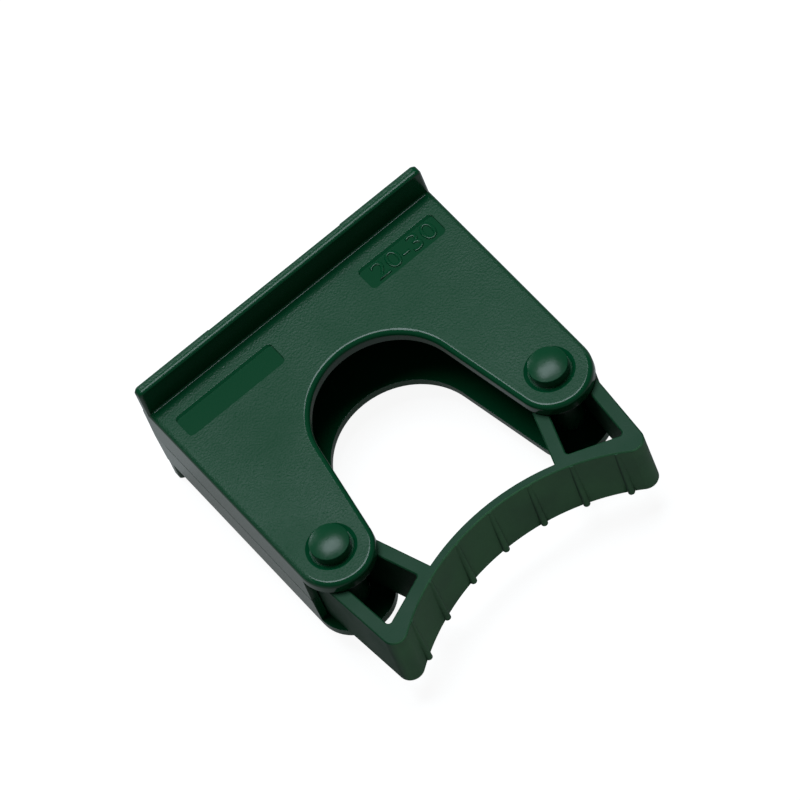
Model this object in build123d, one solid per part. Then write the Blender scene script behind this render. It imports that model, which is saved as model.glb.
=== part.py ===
"""Wall-rail tool clip: a boxed plastic holder with a U seat, and a ribbed rubber strap on two pins."""
import math
import os

from build123d import *

# Driving dimensions, in millimetres and degrees.
# The origin is the centre of the rear face that lies against the rail, at mid height.
# +X runs right, +Y to the wall and +Z up.
body_width = 80.4
body_height = 24.0
plate_thickness = 3.0
draft_angle = 0.8
edge_radius = 1.3
underside_bevel = 0.9
inner_corner_radius = 2.0

# Back wall and the two lips that go behind the rail's flanges.
back_wall = 2.1
pad_height = 0.5
pad_width = 21.5
upper_lip = 8.6
lower_lip = 6.2
lip_bevel = 0.5
lip_corner_radius = 1.3
crease_radius = 0.5

# U seat for the tool's handle, and the ears round the pins. Setbacks run forward from the lip's front face.
seat_radius = 17.65
seat_setback = 36.3
ear_radius = 9.4
ear_setback = 55.7
pin_inset = 0.6

# Shallow bare panels beside the lip.
panel_depth = 0.4
panel_length = 6.6
panel_setback = 4.6
panel_margin = 3.7
left_panel_width = 27.0
right_panel_width = 21.0
panel_corner = 1.2

# Pins and the dishes round their heads.
pin_radius = 3.9
head_ledge = 0.6
pin_fit = 0.05
pin_end_recess = 0.2
head_height = 2.2
dome_height = 1.0
dish_clearance = 0.45
dish_flare = 0.88
dish_depth = 0.6

# Rubber strap.
strap_clearance = 0.55
strap_seating = 0.1
loop_fit = 0.1
loop_wall = 3.2
loop_clearance = 0.3
grip_radius = 52.0
grip_reach = 16.2
web_thickness = 2.0
heel_inset = 12.7
toe_outset = 2.4
toe_radius = 3.0
bar_inner = 3.2
bar_outer = 4.3
window_corner = 0.8
window_heel_inset = 8.9
window_toe_outset = 1.5
strap_edge = 0.3
rib_count = 7
rib_pitch = 11.2
rib_radius = 0.8
rib_height = 0.55
rib_lean = 2.6

# Places worked out from the values above.
half_width = body_width / 2
half_height = body_height / 2
lip_y = -(back_wall + pad_height)
pin_x = half_width - ear_radius
ear_y = lip_y - ear_setback
pin_y = ear_y + pin_inset
seat_y = lip_y - seat_setback
front_y = ear_y - ear_radius
head_radius = pin_radius + head_ledge
dish_floor_radius = head_radius + dish_clearance
loop_radius = pin_radius + loop_fit + loop_wall
side_wall = ear_radius - loop_radius - loop_clearance
draft_inset = half_height * math.tan(math.radians(draft_angle))
lip_half_length = half_width - draft_inset
slot_height = body_height - 2 * plate_thickness
strap_base = strap_seating - slot_height / 2
strap_height = slot_height - strap_clearance - strap_seating
grip_centre_y = pin_y - grip_reach - grip_radius
PIN_SIDES = (("left", -1), ("right", 1))


def plate_outline():
    """Plan of the plates: straight sides, round ears, and a U whose sides are tangent to seat and ears."""
    slope = math.atan2(ear_y - seat_y, pin_x)
    turn = math.asin((seat_radius + ear_radius) / math.hypot(pin_x, ear_y - seat_y))
    splay = slope - turn + math.pi / 2
    across = Vector(math.cos(splay), math.sin(splay))
    seat_tangent = Vector(0, seat_y) + across * seat_radius
    ear_tangent = Vector(pin_x, ear_y) - across * ear_radius
    # The plan runs past the rear face, which is cut flat once the sides have their draft.
    rear_corner = Vector(half_width, edge_radius)
    side_end = Vector(half_width, ear_y)
    with BuildSketch() as plan:
        with BuildLine():
            Line(Vector(0, edge_radius), rear_corner)
            Line(rear_corner, side_end)
            ThreePointArc(side_end, Vector(pin_x, front_y), ear_tangent)
            Line(ear_tangent, seat_tangent)
            RadiusArc(seat_tangent, Vector(0, seat_y + seat_radius), -seat_radius)
            mirror(about=Plane.YZ)
        make_face()
    return plan.sketch


def plate_rim(face):
    """Edges of a plate's outer face, without the rear one, which is cut off later."""
    return face.edges().filter_by(lambda edge: edge.center().Y < 0 or abs(edge.center().X) > 1)


def grip_point(x, depth):
    """Point at the given x that lies depth behind the strap's concave front face."""
    return Vector(x, grip_centre_y + math.sqrt((grip_radius + depth) ** 2 - x**2))


def lip(base_z, tip_z):
    """Flange across the back from base_z to tip_z, with rounded corners and bevelled free edges."""
    height = abs(tip_z - base_z)

    def at_tip(edge):
        return abs(edge.center().Z - tip_z) < height / 4

    with BuildPart() as flange:
        with Locations((0, lip_y / 2, (base_z + tip_z) / 2)):
            Box(2 * lip_half_length, -lip_y, height)
        fillet(flange.edges().filter_by(Axis.Y).filter_by(at_tip), lip_corner_radius)
        chamfer(flange.edges().filter_by(at_tip), lip_bevel)
    return flange.part


def crease_fillet(direction):
    """Concave fillet in the corner between a lip and its plate: direction 1 on top, -1 below."""
    run = lip_half_length - edge_radius
    with BuildPart() as strip:
        with Locations((0, lip_y - crease_radius / 2, direction * (half_height + crease_radius / 2))):
            Box(2 * run, crease_radius, crease_radius)
        with Locations((0, lip_y - crease_radius, direction * (half_height + crease_radius))):
            Cylinder(crease_radius, 2 * run, rotation=(0, 90, 0), mode=Mode.SUBTRACT)
    return strip.part


def holder_body():
    """Box open to the front: two plates with the U, side walls, back wall with its lips."""
    with BuildPart() as body:
        add(extrude(plate_outline(), half_height, taper=draft_angle))
        mirror(about=Plane.XY)
        fillet(plate_rim(body.faces().sort_by(Axis.Z)[-1]), edge_radius)
        chamfer(plate_rim(body.faces().sort_by(Axis.Z)[0]), underside_bevel)
        with Locations((0, 0, 0)):
            Box(
                2 * body_width, 2 * edge_radius, 2 * body_height,
                align=(Align.CENTER, Align.MIN, Align.CENTER), mode=Mode.SUBTRACT,
            )
        add(lip(half_height - edge_radius, half_height + upper_lip))
        add(lip(edge_radius - half_height, -half_height - lower_lip))
        add(crease_fillet(1))
        add(crease_fillet(-1))

        # Chamber between the plates, open to the front over the whole width from the pins on.
        with BuildSketch(Plane.XY.offset(-slot_height / 2)):
            with Locations((0, lip_y)):
                chamber = Rectangle(
                    2 * (half_width - side_wall), lip_y - front_y + edge_radius,
                    align=(Align.CENTER, Align.MAX),
                )
            fillet(chamber.vertices().group_by(Axis.Y)[-1], inner_corner_radius)
            with Locations((0, ear_y)):
                Rectangle(2 * body_width, ear_radius + edge_radius, align=(Align.CENTER, Align.MAX))
        extrude(amount=slot_height, mode=Mode.SUBTRACT)

        # The middle of the back stands clear of the rail between the two end pads.
        with Locations((0, 0, 0)):
            Box(
                body_width - 2 * pad_width, 2 * pad_height, 2 * (body_height + upper_lip + lower_lip),
                mode=Mode.SUBTRACT,
            )

        # Pin holes through both ears, with a dish on top.
        with Locations((-pin_x, pin_y), (pin_x, pin_y)):
            Cylinder(pin_radius + pin_fit, body_height, mode=Mode.SUBTRACT)
        with Locations((-pin_x, pin_y, half_height), (pin_x, pin_y, half_height)):
            Cone(
                dish_floor_radius, dish_floor_radius + dish_flare, dish_depth,
                align=(Align.CENTER, Align.CENTER, Align.MAX), mode=Mode.SUBTRACT,
            )

        # Shallow panels in the top plate.
        panel_y = lip_y - panel_setback - panel_length / 2
        panel_edge = half_width - panel_margin
        with BuildSketch(Plane.XY.offset(half_height)):
            with Locations((left_panel_width / 2 - panel_edge, panel_y)):
                RectangleRounded(left_panel_width, panel_length, panel_corner)
            with Locations((panel_edge - right_panel_width / 2, panel_y)):
                RectangleRounded(right_panel_width, panel_length, panel_corner)
        extrude(amount=-panel_depth, mode=Mode.SUBTRACT)
    return body.part


def pivot_pin(side):
    """Headed pin: plain shaft, and a proud round head with a low dome, its ledge on the dish's floor."""
    foot_z = pin_end_recess - half_height
    ledge_z = half_height - dish_depth
    shoulder_z = half_height + head_height
    crown_z = shoulder_z + dome_height
    cap_radius = (head_radius**2 + dome_height**2) / (2 * dome_height)
    with BuildPart() as pin:
        with BuildSketch(Plane.XZ):
            with BuildLine():
                outline = Polyline(
                    (0, crown_z), (0, foot_z), (pin_radius, foot_z), (pin_radius, ledge_z),
                    (head_radius, ledge_z), (head_radius, shoulder_z),
                )
                RadiusArc(outline @ 1, outline @ 0, -cap_radius)
            make_face()
        revolve(axis=Axis.Z)
    return Pos(side * pin_x, pin_y) * pin.part


def loop_half(side):
    """Plan of one end of the strap: a closed triangular loop drawn round its pin."""
    pin = Vector(side * pin_x, pin_y)
    heel = grip_point(side * (pin_x - heel_inset), web_thickness / 2)
    toe = grip_point(side * (pin_x + toe_outset), toe_radius)
    window_heel = grip_point(side * (pin_x - window_heel_inset), bar_inner + window_corner)
    window_toe = grip_point(side * (pin_x + window_toe_outset), bar_outer + window_corner)
    with BuildSketch() as loop:
        with BuildLine():
            CenterArc(pin, loop_radius, 0, 360)
            CenterArc(heel, web_thickness / 2, 0, 360)
            CenterArc(toe, toe_radius, 0, 360)
        make_hull()
        with BuildSketch(mode=Mode.SUBTRACT):
            with BuildLine():
                CenterArc(pin, pin_radius + loop_fit, 0, 360)
                CenterArc(window_heel, window_corner, 0, 360)
                CenterArc(window_toe, window_corner, 0, 360)
            make_hull()
    return loop.sketch


def grip_strap():
    """Rubber strap: concave web between the two loops; the ribs on its front stand out more lower down."""
    heel_angle = math.degrees(math.asin((pin_x - heel_inset) / (grip_radius + web_thickness / 2)))
    back_radius = grip_radius + web_thickness
    with BuildPart() as strap:
        with BuildSketch(Plane.XY.offset(strap_base)):
            for _, side in PIN_SIDES:
                add(loop_half(side))
            with BuildLine():
                face_arc = CenterArc((0, grip_centre_y), grip_radius, 90 - heel_angle, 2 * heel_angle)
                back_arc = CenterArc((0, grip_centre_y), back_radius, 90 - heel_angle, 2 * heel_angle)
                Line(face_arc @ 0, back_arc @ 0)
                Line(face_arc @ 1, back_arc @ 1)
            make_face()
            with Locations((0, grip_centre_y)):
                Circle(grip_radius, mode=Mode.SUBTRACT)
        extrude(amount=strap_height)
        rims = strap.faces().sort_by(Axis.Z)
        chamfer(rims[0].edges() + rims[-1].edges(), strap_edge)
        rib_spread = rib_pitch * (rib_count - 1)
        rib_seat = grip_radius + rib_radius - rib_height
        with Locations((0, grip_centre_y, strap_base + strap_height / 2)):
            with PolarLocations(rib_seat, rib_count, 90 - rib_spread / 2, rib_spread, endpoint=True):
                Cylinder(rib_radius, strap_height - 2 * strap_edge, rotation=(0, rib_lean, 0))
    return strap.part


os.makedirs("parts", exist_ok=True)
pieces = {"holder_body": holder_body(), "grip_strap": grip_strap()}
for name, side in PIN_SIDES:
    pieces[f"pivot_pin_{name}"] = pivot_pin(side)
for name, piece in pieces.items():
    export_step(piece, f"parts/{name}.step")
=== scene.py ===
"""Looks of the rail tool clip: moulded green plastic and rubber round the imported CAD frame, in metres."""

import math

import bpy
from mathutils import Matrix, Vector


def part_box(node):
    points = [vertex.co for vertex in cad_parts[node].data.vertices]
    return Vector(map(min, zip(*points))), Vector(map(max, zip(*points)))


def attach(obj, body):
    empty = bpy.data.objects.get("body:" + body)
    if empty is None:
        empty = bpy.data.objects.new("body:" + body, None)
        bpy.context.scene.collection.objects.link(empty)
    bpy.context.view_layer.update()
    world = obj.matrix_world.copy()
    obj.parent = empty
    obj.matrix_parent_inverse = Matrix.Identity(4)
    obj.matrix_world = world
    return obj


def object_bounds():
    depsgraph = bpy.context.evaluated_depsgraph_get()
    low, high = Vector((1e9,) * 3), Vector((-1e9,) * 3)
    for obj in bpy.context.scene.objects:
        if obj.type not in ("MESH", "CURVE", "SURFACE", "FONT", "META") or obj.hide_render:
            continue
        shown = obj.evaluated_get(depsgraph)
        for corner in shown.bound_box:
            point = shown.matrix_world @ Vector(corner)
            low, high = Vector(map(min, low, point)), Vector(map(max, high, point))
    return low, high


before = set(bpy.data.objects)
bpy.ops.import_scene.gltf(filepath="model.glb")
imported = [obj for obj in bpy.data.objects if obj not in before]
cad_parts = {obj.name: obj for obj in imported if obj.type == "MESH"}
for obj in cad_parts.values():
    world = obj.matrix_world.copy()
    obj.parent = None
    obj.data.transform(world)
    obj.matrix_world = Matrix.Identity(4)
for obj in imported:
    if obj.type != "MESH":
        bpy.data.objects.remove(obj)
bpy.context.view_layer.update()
scene = bpy.context.scene

# Holder body
# One plastic moulding: grained plates with a U seat, smooth walls, and two lips that go behind the rail.
# The halves of the mould meet at mid height and leave a fine matt parting line on the side walls.
body_color = (0.0013, 0.053, 0.019, 1.0)
body_worn_color = (0.005, 0.07, 0.029, 1.0)
body_specular = 0.31
plate_roughness = 0.54
plate_roughness_spread = 0.07
smooth_roughness = 0.15
body_grain_size = 0.00052
body_grain_depth = 0.0002
flow_scale = 60.0
flow_detail = 4.0
mottle_low = 0.3
mottle_high = 0.7
plate_edge_radius = 0.00015
lip_edge_radius = 0.0008
parting_half_width = 0.0003
parting_depth = 0.0005
upper_lip_height = 0.0086
side_rim_width = 0.0014
lip_top_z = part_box("holder_body")[1].z
plate_face_z = lip_top_z - upper_lip_height
lip_edge_start_z = plate_face_z + 0.0006
lip_edge_full_z = plate_face_z + 0.0012
side_wall_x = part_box("holder_body")[1].x - side_rim_width
lip_grain_y = -0.0012
lip_grain_blend = 0.0004
lip_front_y = -0.0032
grain_start_y = -0.0065
rim_blend = 0.00002
side_rim_blend = 0.0004


def reckon(tree, operation, *values):
    """Work out a value over the surface by one step of arithmetic on other values and plain numbers."""
    node = tree.nodes.new("ShaderNodeMath")
    node.operation = operation
    for entry, value in zip(node.inputs, values):
        if isinstance(value, float):
            entry.default_value = value
        else:
            tree.links.new(value, entry)
    return node.outputs[0]


def fade(tree, value, start, end, low=0.0, high=1.0, shape="LINEAR"):
    """Run from low to high while a value goes from start to end, and stay level beyond."""
    node = tree.nodes.new("ShaderNodeMapRange")
    node.interpolation_type = shape
    node.inputs["From Min"].default_value = start
    node.inputs["From Max"].default_value = end
    node.inputs["To Min"].default_value = low
    node.inputs["To Max"].default_value = high
    tree.links.new(value, node.inputs["Value"])
    return node.outputs[0]


def mottle(tree, vector, scale, detail):
    """Give a cloudy pattern on a piece's own coordinates."""
    node = tree.nodes.new("ShaderNodeTexNoise")
    node.inputs["Scale"].default_value = scale
    node.inputs["Detail"].default_value = detail
    tree.links.new(vector, node.inputs["Vector"])
    return node.outputs["Fac"]


# The fine texture that a spark-eroded mould leaves, laid on the normal that a material gives it.
grain_detail = 2.0
grain_sharpness = 0.55
grain_group = bpy.data.node_groups.new("moulded_grain", "ShaderNodeTree")
for name in ("Vector", "Normal"):
    grain_group.interface.new_socket(name, in_out="INPUT", socket_type="NodeSocketVector")
for name in ("Size", "Depth"):
    grain_group.interface.new_socket(name, in_out="INPUT", socket_type="NodeSocketFloat")
grain_group.interface.new_socket("Normal", in_out="OUTPUT", socket_type="NodeSocketVector")
given = grain_group.nodes.new("NodeGroupInput")
result = grain_group.nodes.new("NodeGroupOutput")
pits = grain_group.nodes.new("ShaderNodeTexNoise")
pits.inputs["Detail"].default_value = grain_detail
pits.inputs["Roughness"].default_value = grain_sharpness
pits_per_metre = reckon(grain_group, "DIVIDE", 1.0, given.outputs["Size"])
grain_group.links.new(pits_per_metre, pits.inputs["Scale"])
grain_group.links.new(given.outputs["Vector"], pits.inputs["Vector"])
relief = grain_group.nodes.new("ShaderNodeBump")
relief.inputs["Strength"].default_value = 1.0
grain_group.links.new(given.outputs["Depth"], relief.inputs["Distance"])
grain_group.links.new(given.outputs["Normal"], relief.inputs["Normal"])
grain_group.links.new(pits.outputs["Fac"], relief.inputs["Height"])
grain_group.links.new(relief.outputs["Normal"], result.inputs["Normal"])

# Edges softened by a small radius, with a patchy mask of where hands rub them first.
# The mask starts where the soft normal leaves the true one by the first cosine and is full at the second.
wear_start = 0.99
wear_full = 0.85
wear_scale = 400.0
wear_detail = 3.0
edge_group = bpy.data.node_groups.new("worn_edges", "ShaderNodeTree")
edge_group.interface.new_socket("Vector", in_out="INPUT", socket_type="NodeSocketVector")
edge_group.interface.new_socket("Radius", in_out="INPUT", socket_type="NodeSocketFloat")
edge_group.interface.new_socket("Normal", in_out="OUTPUT", socket_type="NodeSocketVector")
edge_group.interface.new_socket("Wear", in_out="OUTPUT", socket_type="NodeSocketFloat")
given = edge_group.nodes.new("NodeGroupInput")
result = edge_group.nodes.new("NodeGroupOutput")
soft = edge_group.nodes.new("ShaderNodeBevel")
soft.samples = 8
edge_group.links.new(given.outputs["Radius"], soft.inputs["Radius"])
edge_group.links.new(soft.outputs["Normal"], result.inputs["Normal"])
surface = edge_group.nodes.new("ShaderNodeNewGeometry")
turn = edge_group.nodes.new("ShaderNodeVectorMath")
turn.operation = "DOT_PRODUCT"
edge_group.links.new(soft.outputs["Normal"], turn.inputs[0])
edge_group.links.new(surface.outputs["Normal"], turn.inputs[1])
rubbed_edge = fade(edge_group, turn.outputs["Value"], wear_start, wear_full)
patches = mottle(edge_group, given.outputs["Vector"], wear_scale, wear_detail)
edge_group.links.new(reckon(edge_group, "MULTIPLY", rubbed_edge, patches), result.inputs["Wear"])


def moulded_material(name, specular):
    """Make a material with soft, worn edges and grain on top of them, and give back the nodes to set."""
    material = bpy.data.materials.new(name)
    material.use_nodes = True
    tree = material.node_tree
    shader = tree.nodes["Principled BSDF"]
    shader.inputs["Specular IOR Level"].default_value = specular
    place = tree.nodes.new("ShaderNodeTexCoord")
    edges = tree.nodes.new("ShaderNodeGroup")
    edges.node_tree = edge_group
    grain = tree.nodes.new("ShaderNodeGroup")
    grain.node_tree = grain_group
    tree.links.new(place.outputs["Object"], edges.inputs["Vector"])
    tree.links.new(place.outputs["Object"], grain.inputs["Vector"])
    tree.links.new(edges.outputs["Normal"], grain.inputs["Normal"])
    return material, shader, place, edges, grain


def tint_by_mask(tree, shader, plain, worn, share):
    """Colour a material from plain to a second colour by a mask: wear on the body and pins, and on the
    strap painted front light as well as wear.
    """
    blend = tree.nodes.new("ShaderNodeMix")
    blend.data_type = "RGBA"
    blend.inputs["A"].default_value = plain
    blend.inputs["B"].default_value = worn
    tree.links.new(share, blend.inputs["Factor"])
    tree.links.new(blend.outputs["Result"], shader.inputs["Base Color"])


def dress(node_name, material):
    """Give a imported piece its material."""
    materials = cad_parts[node_name].data.materials
    materials.clear()
    materials.append(material)


body_material, shader, place, edges, grain = moulded_material("body_plastic", body_specular)
tree = body_material.node_tree
axes = tree.nodes.new("ShaderNodeSeparateXYZ")
tree.links.new(place.outputs["Object"], axes.inputs[0])
height = reckon(tree, "ABSOLUTE", axes.outputs["Z"])
across = reckon(tree, "ABSOLUTE", axes.outputs["X"])
at_side = reckon(tree, "GREATER_THAN", across, side_wall_x)
before_lip = fade(tree, axes.outputs["Y"], lip_front_y, grain_start_y, shape="SMOOTHSTEP")

# The grained faces: both plates before the lip, out over the side rims, and the rear of the lip's top.
grain_edge = reckon(tree, "MULTIPLY_ADD", at_side, side_rim_blend, height)
level = fade(tree, grain_edge, plate_face_z - rim_blend, plate_face_z)
on_plate = reckon(tree, "MULTIPLY", level, before_lip)
lip_top = reckon(tree, "GREATER_THAN", axes.outputs["Z"], lip_top_z - rim_blend)
behind_edge = fade(tree, axes.outputs["Y"], lip_grain_y - lip_grain_blend, lip_grain_y + lip_grain_blend)
on_lip = reckon(tree, "MULTIPLY", lip_top, behind_edge)
on_face = reckon(tree, "MAXIMUM", on_plate, on_lip)

# The normal: edges rounder on the lip than on the plates, then the grain, then the parting line.
edge_radius = fade(tree, height, lip_edge_start_z, lip_edge_full_z, plate_edge_radius, lip_edge_radius)
tree.links.new(edge_radius, edges.inputs["Radius"])
grain.inputs["Size"].default_value = body_grain_size
tree.links.new(reckon(tree, "MULTIPLY", on_face, body_grain_depth), grain.inputs["Depth"])
at_mid_height = fade(tree, height, 0.0, parting_half_width, 1.0, 0.0, shape="SMOOTHSTEP")
on_side_wall = reckon(tree, "MULTIPLY", at_side, before_lip)
parting_line = reckon(tree, "MULTIPLY", at_mid_height, on_side_wall)
parting_bump = tree.nodes.new("ShaderNodeBump")
parting_bump.inputs["Distance"].default_value = parting_depth
tree.links.new(parting_line, parting_bump.inputs["Height"])
tree.links.new(grain.outputs["Normal"], parting_bump.inputs["Normal"])
tree.links.new(parting_bump.outputs["Normal"], shader.inputs["Normal"])

# The gloss: satin with faint flow marks on the grained faces, shiny elsewhere, matt on the parting line.
flow = mottle(tree, place.outputs["Object"], flow_scale, flow_detail)
satin_low = plate_roughness - plate_roughness_spread
satin_high = plate_roughness + plate_roughness_spread
satin = fade(tree, flow, mottle_low, mottle_high, satin_low, satin_high)
gloss = tree.nodes.new("ShaderNodeMix")
gloss.inputs["A"].default_value = smooth_roughness
tree.links.new(on_face, gloss.inputs["Factor"])
tree.links.new(satin, gloss.inputs["B"])
tree.links.new(reckon(tree, "MAXIMUM", gloss.outputs["Result"], parting_line), shader.inputs["Roughness"])
tint_by_mask(tree, shader, body_color, body_worn_color, edges.outputs["Wear"])
dress("holder_body", body_material)

# Panel slopes
# The rear edge of each sunk panel runs down to its floor in a slope, which fades out round the corners.
# Part of the body's moulding, in the same plastic: a thin wedge in each panel, its foot below the floor.
panel_spans = {"left": (-0.0365, -0.0095), "right": (0.0155, 0.0365)}
panel_rear_y = -0.0072
panel_corner = 0.0012
panel_depth = 0.0004
panel_floor_z = plate_face_z - panel_depth
slope_width = 0.0008
slope_sink = 0.00005
corner_steps = 8
wedge_corners = 3

crest = Vector((0.0, 0.0, plate_face_z))
foot = Vector((0.0, 0.0, panel_floor_z - slope_sink))
for side, (panel_left, panel_right) in panel_spans.items():
    wedge_points = []
    for corner_x, first_angle in (
        (panel_left + panel_corner, math.pi),
        (panel_right - panel_corner, math.pi / 2),
    ):
        corner_centre = Vector((corner_x, panel_rear_y - panel_corner, 0.0))
        for step in range(corner_steps + 1):
            angle = first_angle - math.pi / 2 * step / corner_steps
            outward = Vector((math.cos(angle), math.sin(angle), 0.0))
            on_wall = corner_centre + outward * panel_corner
            wedge_points.append(on_wall + crest)
            wedge_points.append(on_wall - outward * slope_width * math.sin(angle) + foot)
            wedge_points.append(on_wall + outward * slope_sink + foot)
    last = len(wedge_points) - wedge_corners
    wedge_faces = [(0, 2, 1), (last, last + 1, last + 2)]
    for first in range(0, last, wedge_corners):
        for corner in range(wedge_corners):
            near = first + corner
            far = first + (corner + 1) % wedge_corners
            wedge_faces.append((near, far, far + wedge_corners, near + wedge_corners))
    slope_mesh = bpy.data.meshes.new("panel_slope_" + side)
    slope_mesh.from_pydata(wedge_points, [], wedge_faces)
    slope_mesh.materials.append(body_material)
    slope = bpy.data.objects.new("panel_slope_" + side, slope_mesh)
    scene.collection.objects.link(slope)
    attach(slope, "root")

# Size numerals
# The range of handle diameters in millimetres, raised from the floor of the right panel.
# Part of the body's moulding, in the same plastic: thin rounded strokes that stay below the plate's face.
numerals_width = 0.0172
numerals_height = 0.0048
numerals_centre = (0.0266, -0.0105)
numerals_rise = 0.0003
numerals_sink = 0.0003
numerals_crease = math.radians(50.0)
# Shares of the letter size, before the strokes are stretched to the sizes above.
stroke_thinning = -0.022
stroke_rounding = 0.034
stroke_core = 0.005

numerals_text = bpy.data.curves.new("size_numerals", "FONT")
numerals_text.body = "20-30"
numerals_text.size = 1.0
numerals_text.offset = stroke_thinning
numerals_text.extrude = stroke_core
numerals_text.bevel_depth = stroke_rounding
numerals_text.bevel_resolution = 3
numerals_text.resolution_u = 5
numerals_source = bpy.data.objects.new("numerals_source", numerals_text)
scene.collection.objects.link(numerals_source)
numerals_shape = numerals_source.evaluated_get(bpy.context.evaluated_depsgraph_get())
numerals_mesh = bpy.data.meshes.new_from_object(numerals_shape)
bpy.data.objects.remove(numerals_source)
low = Vector(min(vertex.co[axis] for vertex in numerals_mesh.vertices) for axis in range(3))
high = Vector(max(vertex.co[axis] for vertex in numerals_mesh.vertices) for axis in range(3))
span = high - low
stretch = Matrix.Diagonal((
    numerals_width / span.x,
    numerals_height / span.y,
    (numerals_rise + numerals_sink) / span.z,
    1.0,
))
lower_left = Vector((
    numerals_centre[0] - numerals_width / 2,
    numerals_centre[1] - numerals_height / 2,
    panel_floor_z - numerals_sink,
))
numerals_mesh.transform(Matrix.Translation(lower_left) @ stretch @ Matrix.Translation(-low))
numerals_mesh.shade_smooth()
numerals_mesh.set_sharp_from_angle(angle=numerals_crease)
numerals_mesh.materials.clear()
numerals_mesh.materials.append(body_material)
numerals = bpy.data.objects.new("size_numerals", numerals_mesh)
scene.collection.objects.link(numerals)
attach(numerals, "root")

# Grip strap
# One rubber moulding, its two closed loops held on the pins and its ribbed web bowed between them.
# Rubber is duller than the plastic. Its front faces are painted paler and browner in patches, painted light
# in place of light from the front, and its rubbed edges are paler too.
strap_color = (0.005, 0.047, 0.019, 1.0)
# The paler colour is painted light on the front faces as well as wear on the rubbed edges.
strap_lit_front_and_worn_color = (0.062, 0.182, 0.08, 1.0)
strap_specular = 0.19
strap_roughness_low = 0.5
strap_roughness_high = 0.62
strap_grain_size = 0.0005
strap_grain_depth = 0.00003
strap_edge_radius = 0.0002
bloom_scale = 90.0
bloom_detail = 5.0
# The painted front light begins and is full at these values of the normal's Y.
front_start = -0.35
front_full = -0.85
# On it the bloom takes the painted light from its least share to all of it between these values.
pale_low = 0.35
pale_high = 0.65
pale_least = 0.65

strap_material, shader, place, edges, grain = moulded_material("strap_rubber", strap_specular)
tree = strap_material.node_tree
edges.inputs["Radius"].default_value = strap_edge_radius
grain.inputs["Size"].default_value = strap_grain_size
grain.inputs["Depth"].default_value = strap_grain_depth
tree.links.new(grain.outputs["Normal"], shader.inputs["Normal"])
bloom = mottle(tree, place.outputs["Object"], bloom_scale, bloom_detail)
dullness = fade(tree, bloom, mottle_low, mottle_high, strap_roughness_low, strap_roughness_high)
tree.links.new(dullness, shader.inputs["Roughness"])
facing = tree.nodes.new("ShaderNodeSeparateXYZ")
tree.links.new(place.outputs["Normal"], facing.inputs[0])
on_front = fade(tree, facing.outputs["Y"], front_start, front_full)
painted_light_share = fade(tree, bloom, pale_low, pale_high, pale_least, 1.0)
# Painted light: the front faces get the paler colour in patches, as if lit from the front; rubbed edges add
# their wear.
painted_front_light = reckon(tree, "MULTIPLY", on_front, painted_light_share)
painted_light_and_wear = reckon(tree, "MAXIMUM", painted_front_light, edges.outputs["Wear"])
# The strap's second colour goes on its painted-lit front and on its worn edges.
tint_by_mask(tree, shader, strap_color, strap_lit_front_and_worn_color, painted_light_and_wear)
dress("grip_strap", strap_material)

# Pivot pins
# Two headed pins of the body's plastic, pushed through the ears and loops until their ledges seat.
# The low domes are smooth, with a faint unevenness from the ejector.
pin_roughness_low = 0.28
pin_roughness_high = 0.36
pin_grain_size = 0.0012
pin_grain_depth = 0.00003
pin_edge_radius = 0.00025
polish_scale = 250.0
polish_detail = 3.0

pin_material, shader, place, edges, grain = moulded_material("pin_plastic", body_specular)
tree = pin_material.node_tree
edges.inputs["Radius"].default_value = pin_edge_radius
grain.inputs["Size"].default_value = pin_grain_size
grain.inputs["Depth"].default_value = pin_grain_depth
tree.links.new(grain.outputs["Normal"], shader.inputs["Normal"])
polish = mottle(tree, place.outputs["Object"], polish_scale, polish_detail)
shine = fade(tree, polish, mottle_low, mottle_high, pin_roughness_low, pin_roughness_high)
tree.links.new(shine, shader.inputs["Roughness"])
tint_by_mask(tree, shader, body_color, body_worn_color, edges.outputs["Wear"])
for side in ("left", "right"):
    dress("pivot_pin_" + side, pin_material)

# Floor
# A plain white table under the part; the camera sees it as white paper with a faint shadow.
# To the part itself it is a darker table that sends a little light up on to the walls and the strap.
floor_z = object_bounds()[0].z
floor_half = 3.0
part_reflect = 0.27
part_glow = 0.13
camera_reflect = 0.2
camera_glow = 0.92

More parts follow.
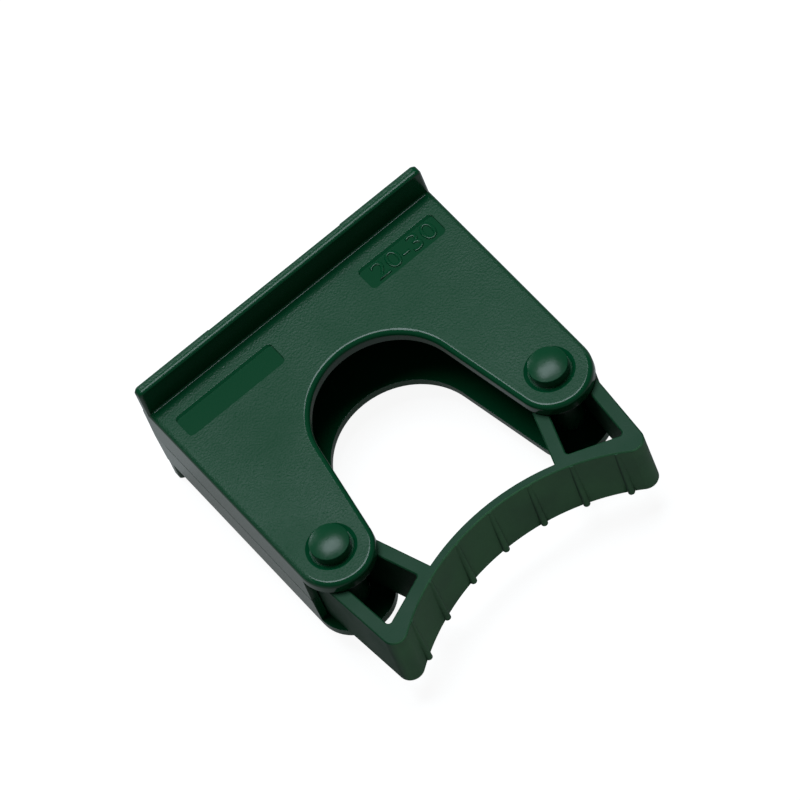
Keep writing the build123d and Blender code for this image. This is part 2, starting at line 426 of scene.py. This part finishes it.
floor_mesh = bpy.data.meshes.new("floor")
floor_corners = [(-1, -1), (1, -1), (1, 1), (-1, 1)]
floor_points = [(x * floor_half, y * floor_half, floor_z) for x, y in floor_corners]
floor_mesh.from_pydata(floor_points, [], [(0, 1, 2, 3)])
floor = bpy.data.objects.new("floor", floor_mesh)
scene.collection.objects.link(floor)
floor_material = bpy.data.materials.new("floor_white")
floor_material.use_nodes = True
tree = floor_material.node_tree
tree.nodes.remove(tree.nodes["Principled BSDF"])
ray = tree.nodes.new("ShaderNodeLightPath")
choose = tree.nodes.new("ShaderNodeMixShader")
tree.links.new(ray.outputs["Is Camera Ray"], choose.inputs[0])
for entry, reflect, glow in ((1, part_reflect, part_glow), (2, camera_reflect, camera_glow)):
    paper = tree.nodes.new("ShaderNodeBsdfDiffuse")
    paper.inputs["Color"].default_value = (reflect, reflect, reflect, 1.0)
    light = tree.nodes.new("ShaderNodeEmission")
    light.inputs["Strength"].default_value = glow
    table = tree.nodes.new("ShaderNodeAddShader")
    tree.links.new(paper.outputs[0], table.inputs[0])
    tree.links.new(light.outputs[0], table.inputs[1])
    tree.links.new(table.outputs[0], choose.inputs[entry])
tree.links.new(choose.outputs[0], tree.nodes["Material Output"].inputs["Surface"])
floor_mesh.materials.append(floor_material)

# Studio light
# Dim even surroundings, a soft box overhead and a little behind, and a low strip far behind for the rims.
# Both lamps are aimed at the middle of the part.
world_strength = 0.08
lamp_color = (0.82, 0.93, 1.0)
lamp_target = Vector((0.0, -0.03, 0.0))
# Each lamp's name, place, width, length and power in watts.
lamps = (
    ("overhead", (0.038, 0.126, 0.789), 0.6, 0.42, 6.2),
    ("behind", (-0.30, 1.2, 0.29), 0.4, 0.25, 2.9),
)

world = bpy.data.worlds.new("studio")
world.use_nodes = True
surroundings = world.node_tree.nodes["Background"]
surroundings.inputs["Color"].default_value = (1.0, 1.0, 1.0, 1.0)
surroundings.inputs["Strength"].default_value = world_strength
scene.world = world
for name, lamp_place, width, length, power in lamps:
    lamp = bpy.data.lights.new(name, "AREA")
    lamp.shape = "RECTANGLE"
    lamp.size = width
    lamp.size_y = length
    lamp.energy = power
    lamp.color = lamp_color
    lamp_object = bpy.data.objects.new(name, lamp)
    lamp_object.location = lamp_place
    aim = lamp_target - Vector(lamp_place)
    lamp_object.rotation_euler = aim.to_track_quat("-Z", "Y").to_euler()
    scene.collection.objects.link(lamp_object)

# Camera
# A long lens high in front and to the left, rolled so that the lip runs up to the right.
camera_place = (-0.26832, -0.92714, 1.48535)
camera_degrees = (29.8064, 12.7688, -38.0699)

camera_data = bpy.data.cameras.new("camera")
camera_data.sensor_width = 36.0
camera_data.lens = 360.0
camera_data.clip_end = 20.0
camera = bpy.data.objects.new("camera", camera_data)
camera.location = camera_place
camera.rotation_euler = tuple(math.radians(angle) for angle in camera_degrees)
scene.collection.objects.link(camera)
scene.camera = camera
scene.view_settings.view_transform = "Standard"
